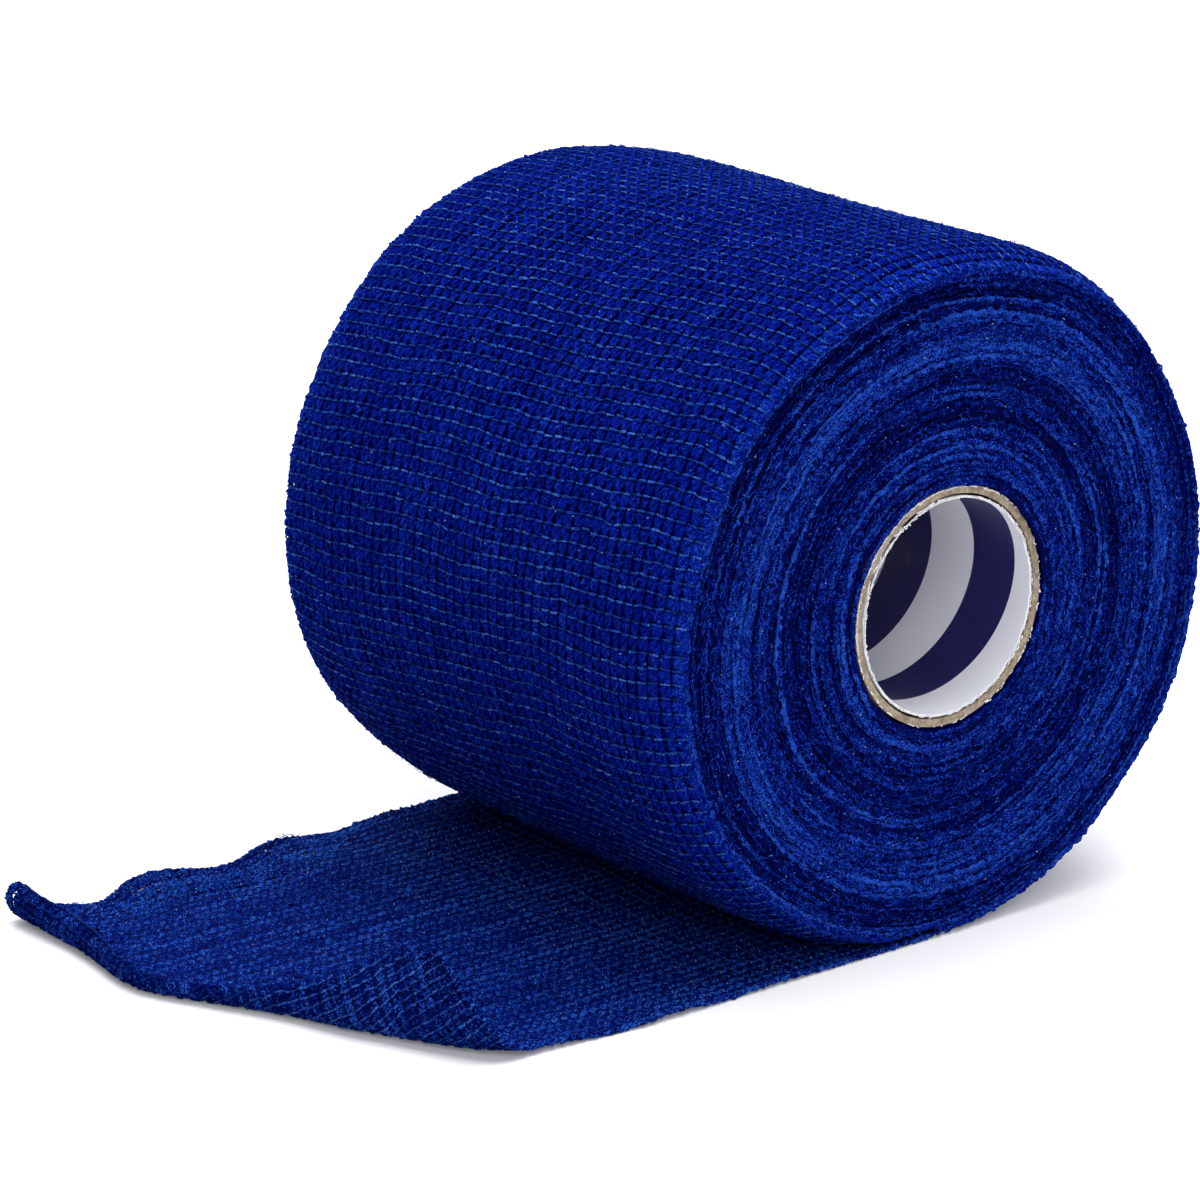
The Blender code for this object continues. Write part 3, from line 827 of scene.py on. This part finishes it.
def cloth_place(along, across):
    """Points of the loose end's middle surface, by metres of cloth from the roll's axis."""
    along, across = np.broadcast_arrays(np.asarray(along, float), np.asarray(across, float))
    fold_reach, bend_radius, turn_deg, flap = end_row(across)
    step = 0.001
    slope = (end_row(across + step)[0] - end_row(across - step)[0]) / (2 * step)
    norm = np.hypot(slope, 1.0)
    fold_x, fold_y = -slope / norm, 1.0 / norm
    past = np.maximum(0.0, along - fold_reach)
    distance = fold_y * past
    bent = np.minimum(distance, bend_radius * np.radians(turn_deg))
    angle = bent / bend_radius
    straight = distance - bent
    out = bend_radius * np.sin(angle) + straight * np.cos(angle)
    up = bend_radius * (1 - np.cos(angle)) + straight * np.sin(angle)
    slide = -fold_x * past
    tip = np.maximum(0.0, 1.0 - (HALF_WIDTH - across) / TIP_LIFT_WIDTH)
    lift = TIP_LIFT * tip ** 2 * np.minimum(1.0, past / flap * 4)
    place = flat_place(np.minimum(along, fold_reach), across)
    place[..., 0] += fold_x * slide - fold_y * out + axis_x
    place[..., 1] += fold_y * slide + fold_x * out + axis_y
    place[..., 2] += up + lift
    return place


def cloth_side(along, across):
    """The direction square to the loose end, out of its inner side, which is up on the table."""
    step = 0.0003
    ahead = cloth_place(along + step, across) - cloth_place(along - step, across)
    aside = cloth_place(along, across + step) - cloth_place(along, across - step)
    return unit(np.cross(aside, ahead))


cloth_start = -TURN_STEP_X + CLEARANCE
share = np.linspace(0.0, 1.0, GROUND_COLUMNS)[None, :]
opens, open_all, closes, closed = GROUND_FAR_GAP_ALONG
open_there = ease(share, opens, open_all) * (1.0 - ease(share, closes, closed))
far_gap = GROUND_FAR_INSET + (GROUND_FAR_GAP - GROUND_FAR_INSET) * open_there
across = -HALF_WIDTH + GROUND_INSET + np.linspace(0.0, 1.0, GROUND_ROWS)[:, None] * (
    BANDAGE_WIDTH - GROUND_INSET - far_gap)
along = cloth_start + (cloth_length(across) - CUT_BACK - cloth_start) * share
middle = cloth_place(along, across)
middle[..., 2] = np.maximum(middle[..., 2], GROUND_LOWEST)
half_layer = cloth_side(along, across) * GROUND_THICKNESS / 2
# One grid goes over the top, round the cut end and back underneath, closed at its sides.
gauze_ground = closed_grid("gauze_ground", np.concatenate(
    [middle + half_layer, (middle - half_layer)[:, ::-1]], axis=1))
gauze_ground.data.materials.append(painted_shade_gauze("ground_shade_cloth", GROUND_SHADE_BLUE, GROUND_SHADE_BLUE_LIGHT))
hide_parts("loose_end")
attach(gauze_ground, "root")


# --- The loose end: its warp and weft ---------------------------------------------------
# The same warps and their wefts go on from the roll. The wefts lie on the outer side,
# which is underneath here and comes into sight only where the cloth is turned up.

END_RELAXES = 0.28              # off the roll the warps crinkle up and draw the wefts closer
END_RELAXES_ALONG = (0.020, 0.056)
LAST_WEFT = 0.104               # past the longest part of the cut end
TIGHT_BY_ROLL = 0.66            # how far the warps swell where the roll pulls the cloth tight
TIGHT_ALONG = (0.022, 0.048)
SLACK_SWELLS = 0.42             # how much more they swell past that
BEND_FLATTENS = 0.26            # and how much less where the cloth is turned up
LOOSE_RISE = 0.00042            # from the loose end's middle to where heights are 0
CORNER_PULL = 0.0022            # the wefts are drawn this far towards the turned-up corner
CORNER_PULL_ALONG = (0.044, 0.070)
CORNER_PULL_ACROSS = (0.016, 0.040)
FAR_EDGE_THINNER = 0.34         # the warps are thin and apart along the far selvedge
FAR_EDGE_ACROSS = (0.0260, 0.0370)
END_BLUES = ((0.0003, 0.0009, 0.062), (0.0006, 0.0068, 0.190), (0.0030, 0.029, 0.40),
             (0.0280, 0.135, 0.64))
END_EDGE_STEPS = 240            # points of each strand of the two selvedges
LOOSE_LIGHTER = 0.02            # the table's light comes through the single layer


def corner_pull(along, across):
    """How far the cloth is stretched towards its turned-up corner."""
    return CORNER_PULL * ease(along, *CORNER_PULL_ALONG) * ease(-across, *CORNER_PULL_ACROSS)


end_weft_places = [0.5 * WEFT_PITCH]
while end_weft_places[-1] < LAST_WEFT:
    closer = END_RELAXES * float(ease(end_weft_places[-1], *END_RELAXES_ALONG))
    end_weft_places.append(end_weft_places[-1] + WEFT_PITCH * (1.0 - closer))
end_weft_places = np.array(end_weft_places)
END_WEFTS = len(end_weft_places)
end_crossings = end_weft_places[:, None] - weft_stray(-end_weft_places[:, None], warp_places)
end_crossings = (end_crossings + corner_pull(end_crossings, warp_places)
                 + CROSSING_STRAY * dice.standard_normal((END_WEFTS, WARPS)))


def end_place(along, across, height, side=-1):
    """Points at a height over the loose end's outer (-1) or inner side, and its direction."""
    out = side * cloth_side(along, across)
    return cloth_place(along, across) + out * height[..., None], out


def on_table(x):
    """What the loose end lies on."""
    return np.full(x.shape, TABLE_GAP)


def stretched(along, bend):
    """How far the warps swell: less where the cloth is pulled tight by the roll, or bent."""
    full = TIGHT_BY_ROLL + SLACK_SWELLS * ease(along, *TIGHT_ALONG)
    return full * (1.0 - BEND_FLATTENS * ease(along, bend - 0.001, bend + 0.001))


end_warps = []
for column, side in enumerate(warp_places):
    stop = float(cloth_length(side)) - CUT_BACK
    bend = float(end_row(side)[0])
    pinches = np.sort(end_crossings[:, column])
    pinches = pinches[(pinches > cloth_start) & (pinches < stop - 0.0006)]
    for along, sideways, height, wide, deep, shade in twisted_plies(
            pinches, stop, dice, 2000 + 2 * column, lighter=LOOSE_LIGHTER,
            fullness=lambda along: stretched(along, bend)):
        across = np.clip(side + sideways, -HALF_WIDTH + 0.0003, HALF_WIDTH - 0.0003)
        wide = wide * (1.0 - FAR_EDGE_THINNER * ease(side, *FAR_EDGE_ACROSS) * (
            0.2 + 0.8 * ease(along, 0.030, 0.046)) * (1.0 - ease(along, 0.070, 0.078)))
        # Painted light: near the roll, in its shadow, the warps are lighter; on the turned-up flap they
        # are darker.
        shade = shade - 0.06 * (along > bend) + 0.09 * (1.0 - ease(along, 0.030, 0.052))
        end_warps.append(Yarn(*end_place(along, across, height + LOOSE_RISE), wide, deep, shade))
for side in (-1, 1):
    for turn in (0.0, math.pi):
        stop = float(cloth_length(side * (HALF_WIDTH - 0.0004))) - CUT_BACK
        along = np.linspace(cloth_start, stop, END_EDGE_STEPS)
        phase = math.tau * along / WEFT_PITCH + turn + scatter(dice, 0.3, along)
        across = side * (HALF_WIDTH - 0.00040 + 0.00024 * np.cos(phase))
        across += scatter(dice, 0.00014 + 0.00006 * side, along)
        thick = SELVEDGE_HALF * (1.2 + scatter(dice, 0.2, along))
        shade = LOOSE_LIGHTER + scatter(dice, 0.10, along)
        height = 0.00016 * np.sin(phase)
        end_warps.append(Yarn(*end_place(along, across, height), thick, thick, shade))
end_cotton = yarn_material("loose_warp_cotton", END_BLUES, contrast=1.70)
loose_warps = yarn_piece("loose_end_warps", end_warps, end_cotton, fuzz=0.12, seed=11, sides=4,
                         rest=on_table)

end_wefts = []
for row, along, across, over, thick, height in weft_rows(
        end_crossings, 0.00009, cloth_start - 0.0004,
        lambda across: cloth_length(across) - CUT_BACK):
    height = LOOSE_RISE + height
    # Close to the roll the cloth is pulled open, and the wefts show between the warps.
    shown = 1.0 - ease(along, 0.026, 0.044)
    height = height + 0.00008 + (-0.00040 - height) * shown
    # Painted shade where the weft dips between the warps.
    shade = 0.09 * slow_noise(400 + row, across, 0.007) - 0.10 * (over < 0.4)
    shade += scatter(dice, 0.08, across) - 0.12 * shown
    turned_up = along > end_row(across)[0]
    shade += turned_up * (0.06 - 0.32 * ease(across, -0.014, 0.002))
    height += 0.00004 * turned_up * ease(-across, 0.004, 0.012)
    end_wefts.append(Yarn(*end_place(along, across, height), thick, thick, shade))
# Along the far selvedge the wefts' last loops show as a thin pale line.
along = np.linspace(0.030, float(cloth_length(HALF_WIDTH)) - CUT_BACK, END_EDGE_STEPS)
across = HALF_WIDTH - 0.00004 + scatter(dice, 0.00012, along)
thick = 0.00010 * (1.0 + scatter(dice, 0.25, along))
height = scatter(dice, 0.00010, along)
shade = 0.14 + scatter(dice, 0.16, along)
end_wefts.append(Yarn(*end_place(along, across, height), thick, thick, shade))
loose_wefts = yarn_piece("loose_end_wefts", end_wefts, weft_cotton, seed=12, rest=on_table)

for piece in (loose_warps, loose_wefts):
    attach(piece, "root")


# --- The loose fibres ------------------------------------------------------------------
# Short ends of cotton that stand out of the yarns everywhere, most of them blue and some
# undyed, which gives the gauze its bloom.

FIBRES = {"roll": 3800, "face": 3000, "end": 2600}
# Tiny pale specks: partly lint, partly painted glints on the yarns.
SPECKS_AND_GLINTS = {"roll": 420, "face": 200, "end": 200}
FIBRE_HALF_LENGTH = (0.00014, 0.00044)
SPECK_HALF_LENGTH = (0.00004, 0.00013)
FIBRE_HALF = 0.000042
SPECK_HALF = 0.00006
FIBRE_BLUE = (0.0010, 0.014, 0.34)
FIBRE_PALE = (0.016, 0.075, 0.62)
SPECK_BLUE = (0.050, 0.15, 0.50)
LINT_AND_GLINT = (0.24, 0.36, 0.72)
FIBRE_LIFT = 0.00040            # of those on the loose end, over its middle
SHOWN_IN_HOLES = (0.05, 0.70, 0.60)     # holes with a pale speck, painted light of the table through the hole: least, by the roll, far edge
FRAY_SPREAD = (0.0009, 0.00038) # along and across the loose end
# Frayed places on the loose end's selvedges: along and across it, and how many fibres.
FRAYS = ((0.0442, 0.0404, 14), (0.0795, 0.0404, 9), (0.0369, -0.0402, 5), (0.0185, -0.0402, 4))


def shaded_material(name, roughness, specular, stops):
    """A plain fibre, coloured by its own shade."""
    material, add, link = new_material(name, roughness, specular)
    shade = add("ShaderNodeAttribute", attribute_name="shade").outputs["Fac"]
    link(colour_ramp(add, shade, stops), "Base Color")
    return material


def short_fibres(first, second, place, dice, specks=False):
    """Bent fibres round the places given by two coordinates, which place() turns into points."""
    count = len(first)
    heading = dice.uniform(0.0, math.tau, count)
    reach = dice.uniform(*(SPECK_HALF_LENGTH if specks else FIBRE_HALF_LENGTH), count)
    bend = reach * dice.uniform(-0.8, 0.8, count)
    ends = np.array([-1.0, 0.0, 1.0])
    bowed = np.array([0.0, 1.0, 0.0])
    ahead, aside = np.cos(heading)[:, None], np.sin(heading)[:, None]
    step, bow = reach[:, None] * ends, bend[:, None] * bowed
    height = dice.uniform(-0.00010, 0.00006, (count, 3)) + 0.00016 * bowed
    centres, outwards = place(first[:, None] + ahead * step - aside * bow,
                              second[:, None] + aside * step + ahead * bow, height)
    half = SPECK_HALF if specks else FIBRE_HALF
    shade = 0.52 + 0.48 * dice.uniform(0.0, 1.0, count) ** 2 if specks else dice.uniform(
        0.0, 0.48, count)
    return [Yarn(*shape, half, half, tone) for *shape, tone in zip(centres, outwards, shade)]


def face_place(radius, around, height):
    """Points over the near end face, by radius and by metres round it at half its radius."""
    angle = around / (0.5 * ROLL_RADIUS)
    rim = float(roll_radius(-HALF_WIDTH))
    share = (radius - BORE_RADIUS) / (rim - BORE_RADIUS)
    out = HALF_WIDTH + face_proud(NEAR_FACE, share) + height
    centres = round_axis(radius, -out, angle)
    return centres, np.broadcast_to([0.0, -1.0, 0.0], centres.shape)


def fibre_place(along, across, height):
    """Points over the loose end's upper side."""
    return end_place(along, across, FIBRE_LIFT + height, 1)


fibre_dice = np.random.default_rng(31)
all_fibres = []
for counts, specks in ((FIBRES, False), (SPECKS_AND_GLINTS, True)):
    number = counts["roll"]
    all_fibres += short_fibres(
        fibre_dice.uniform(0.002, TURN_LENGTH - 0.002, number),
        fibre_dice.uniform(0.001 - HALF_WIDTH, HALF_WIDTH - 0.001, number), roll_place,
        fibre_dice, specks)
    number = counts["face"]
    radius = np.sqrt(fibre_dice.uniform((core_radius + 0.002) ** 2, (ROLL_RADIUS - 0.004) ** 2,
                                        number))
    all_fibres += short_fibres(radius, fibre_dice.uniform(0.0, math.pi * ROLL_RADIUS, number),
                               face_place, fibre_dice, specks)
    number = counts["end"]
    beside = fibre_dice.uniform(0.001 - HALF_WIDTH, HALF_WIDTH - 0.002, number)
    ahead = cloth_start + 0.002 + fibre_dice.uniform(0.0, 1.0, number) * (
        cloth_length(beside) - cloth_start - 0.004)
    all_fibres += short_fibres(ahead, beside, fibre_place, fibre_dice, specks)
# The loose end's weave is open by the roll and along its far edge: a pale speck, painted light of the
# table through the hole, in many holes.
hole_across = np.broadcast_to((warp_places[:-1] + warp_places[1:]) / 2, (END_WEFTS, WARPS - 1))
hole_along = (end_crossings[:, :-1] + end_crossings[:, 1:]) / 2
by_roll = ease(hole_along, 0.010, 0.022) * (1.0 - ease(hole_along, 0.034, 0.056))
by_far_edge = ease(hole_across, 0.024, 0.038) * ease(hole_along, 0.030, 0.045)
least, most_by_roll, most_by_edge = SHOWN_IN_HOLES
open_there = least + np.maximum(most_by_roll * by_roll, most_by_edge * by_far_edge)
in_holes = (fibre_dice.uniform(0.0, 1.0, hole_along.shape) < open_there) & (
    hole_along > cloth_start + 0.004) & (hole_along < end_row(hole_across)[0] - 0.002)
all_fibres += short_fibres(hole_along[in_holes], hole_across[in_holes], fibre_place, fibre_dice,
                           specks=True)
for frayed_along, frayed_across, number in FRAYS:
    ahead = fibre_dice.normal(frayed_along, FRAY_SPREAD[0], number)
    beside = fibre_dice.normal(0.992 * frayed_across, FRAY_SPREAD[1], number)
    all_fibres += short_fibres(ahead, beside, fibre_place, fibre_dice)
loose_cotton = shaded_material("loose_cotton", 1.0, 0.01, [
    (0.0, FIBRE_BLUE), (0.48, FIBRE_PALE), (0.52, SPECK_BLUE), (0.90, LINT_AND_GLINT)])
loose_fibres = yarn_piece("loose_fibres", all_fibres, loose_cotton, rest=on_table)
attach(loose_fibres, "root")


# --- The torn edges of the core ---------------------------------------------------------
# White paper fibres that the saw pulled out of the liner and out of the card's outer ply, on
# both rings of the near end.

TORN_FIBRES = 900
TORN_HALF_LENGTH = (0.00010, 0.00042)
TORN_HALF = (0.00003, 0.00009)
TORN_MOST = (128.0, 34.0)       # where on the ring the saw tore it most, and how far round
PAPER_WHITE = (0.88, 0.88, 0.90)

paper_fibres = shaded_material("paper_fibres", 0.9, 0.2, [(0.0, KRAFT_PALE), (0.5, PAPER_WHITE)])
torn_dice = np.random.default_rng(44)
torn = []
for k in range(TORN_FIBRES):
    on_liner = k % 3 != 0
    turn = torn_dice.uniform(0.0, math.tau)
    if k % 2:
        turn = math.radians(torn_dice.normal(*TORN_MOST))
    ring = liner_radius - 0.0001 if on_liner else core_radius - 0.00006
    heading = torn_dice.normal(0.0, 0.5)
    reach = torn_dice.uniform(*TORN_HALF_LENGTH)
    steps = np.array([-1.0, 0.0, 1.0]) * reach
    turns = turn + steps * math.cos(heading) / ring
    radii = ring - steps * math.sin(heading) * 0.6 + torn_dice.normal(0.0, 0.00006)
    out = half_core + 0.00002 + np.abs(torn_dice.normal(0.0, 0.00010, 3))
    half = torn_dice.uniform(*TORN_HALF)
    torn.append(Yarn(round_axis(radii, -out, turns), np.tile([0.0, -1.0, 0.0], (3, 1)), half,
                     half, torn_dice.uniform(0.2, 1.0)))
torn_paper = yarn_piece("torn_paper", torn, paper_fibres, fuzz=0.3, seed=45)
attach(torn_paper, "root")


# --- The table, the light and the camera ------------------------------------------------
# A plain white table with soft light from above and in front, and the camera where the
# photograph was taken from.

FLOOR_WHITES = ((0.86, 0.86, 0.87), (0.88, 0.88, 0.89))
FLOOR_SIDE = 8.0
FLOOR_GLOW = 0.11
SKY = (0.95, 0.97, 1.0)
SKY_STRENGTH = 0.28
SOFTBOXES = (                   # name, place, what it faces, size and watts
    ("overhead", (0.10, 0.05, 0.95), (0.0, 0.0, 0.03), 0.9, 12.0),
    ("front", (-0.55, -0.80, 0.70), (0.0, 0.0, 0.04), 0.6, 5.0),
    ("right", (0.95, -0.35, 0.55), (0.0, 0.0, 0.04), 0.5, 3.0),
    ("back", (0.40, 1.05, 0.70), (0.0, 0.0, 0.06), 0.6, 6.0))
FRAME_PIXELS = 1200
FOCAL_PIXELS = 6555.3
SENSOR = 36.0
CAMERA_FROM_AXIS = (-0.53175, -0.61081, 0.29689)    # from the point under the roll's axis
LOOK = (0.608616, 0.731630, -0.308068)
UP = (0.18814, 0.22936, 0.95499)

bpy.ops.object.select_all(action="DESELECT")
bpy.ops.mesh.primitive_plane_add(size=FLOOR_SIDE, location=(0.0, 0.0, 0.0))
floor = bpy.context.object
floor.name = "floor"
white, add, link = new_material("white_table", roughness=0.7, specular=0.2, more=(
    ("Emission Color", (1.0, 1.0, 1.0, 1.0)), ("Emission Strength", FLOOR_GLOW)))
link(colour_ramp(add, noise(add, 40.0, 2.0), list(zip((0.3, 0.7), FLOOR_WHITES))), "Base Color")
floor.data.materials.append(white)

world = bpy.data.worlds.new("studio")
bpy.context.scene.world = world
world.use_nodes = True
background = world.node_tree.nodes["Background"]
background.inputs["Color"].default_value = (*SKY, 1.0)
background.inputs["Strength"].default_value = SKY_STRENGTH
for name, place, target, size, watts in SOFTBOXES:
    light = bpy.data.lights.new(name, "AREA")
    light.shape = "SQUARE"
    light.size = size
    light.energy = watts
    softbox = bpy.data.objects.new(name, light)
    bpy.context.scene.collection.objects.link(softbox)
    softbox.location = place
    softbox.rotation_mode = "QUATERNION"
    softbox.rotation_quaternion = (Vector(target) - Vector(place)).to_track_quat("-Z", "Y")

bpy.context.scene.view_settings.view_transform = "Standard"
camera = bpy.data.cameras.new("camera")
camera.sensor_width = SENSOR
camera.lens = FOCAL_PIXELS * SENSOR / FRAME_PIXELS
camera.clip_start = 0.05
camera_stand = bpy.data.objects.new("camera", camera)
bpy.context.scene.collection.objects.link(camera_stand)
look = Vector(LOOK).normalized()
right = look.cross(Vector(UP)).normalized()
up = right.cross(look)
stand = Matrix((right, up, -look)).transposed().to_4x4()
stand.translation = Vector((axis_x, axis_y, 0.0)) + Vector(CAMERA_FROM_AXIS)
camera_stand.matrix_world = stand
bpy.context.scene.camera = camera_stand

bpy.context.view_layer.update()
